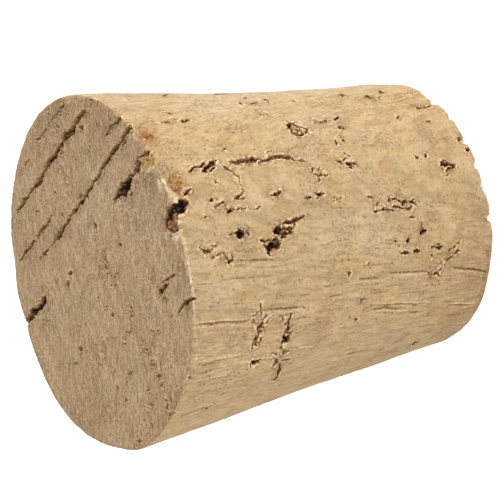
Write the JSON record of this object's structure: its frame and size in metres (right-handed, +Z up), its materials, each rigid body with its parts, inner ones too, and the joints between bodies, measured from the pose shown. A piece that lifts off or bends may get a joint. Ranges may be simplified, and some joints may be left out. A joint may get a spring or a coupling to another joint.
{
  "type": "cork stopper",
  "caption": "Tapered solid stopper of natural cork bark, with open lenticel channels across its ends, pores down its side and a chipped narrow rim.",
  "frame": {"origin": "centre of the narrow end face, which the stopper stands on", "axes": "+Z up the stopper's axis to the wide end; +X through the bark from its inner to its outer side, along the lenticel channels; +Y completes the right-handed frame"},
  "size_m": [0.0401, 0.0402, 0.045],
  "materials": {
    "cork": "matte"
  },
  "bodies": {
    "root": {"stopper": "cork"}
  },
  "joints": []
}
